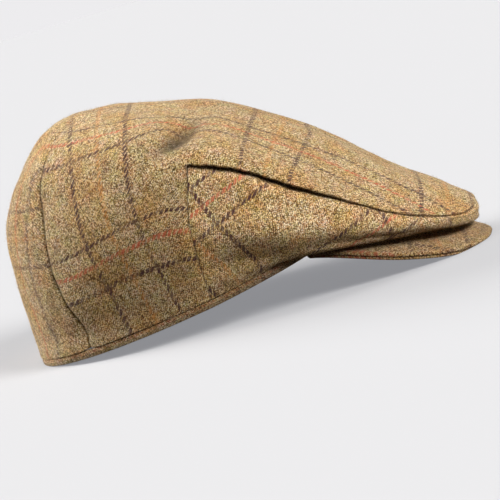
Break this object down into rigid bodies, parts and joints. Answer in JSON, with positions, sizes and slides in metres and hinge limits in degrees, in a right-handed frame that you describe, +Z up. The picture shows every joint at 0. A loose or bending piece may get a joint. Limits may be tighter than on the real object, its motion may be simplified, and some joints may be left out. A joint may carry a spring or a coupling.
{
  "type": "flat cap",
  "caption": "Soft flat cap of checked wool tweed: a rounded crown that slopes to the front and lies over a short stiff curved peak, open below for the head.",
  "frame": {"origin": "under the middle of the cap's bounding box, on the surface that it stands on", "axes": "+X towards the peak, +Y to the wearer's left, +Z up"},
  "size_m": [0.2778, 0.182, 0.1342],
  "materials": {
    "tweed": "woollen twill with a dark and rust windowpane check and mixed flecks",
    "tweed_bias": "the same tweed cut on the bias",
    "hem": "the same tweed, turned and stitched",
    "peak": "the same tweed, drawn smooth over the peak"
  },
  "bodies": {
    "root": {"crown_top": "tweed", "side_panel_right": "tweed_bias", "side_panel_left": "tweed_bias", "rim_band": "hem", "peak_upper": "peak", "peak_lower": "peak"}
  },
  "joints": []
}
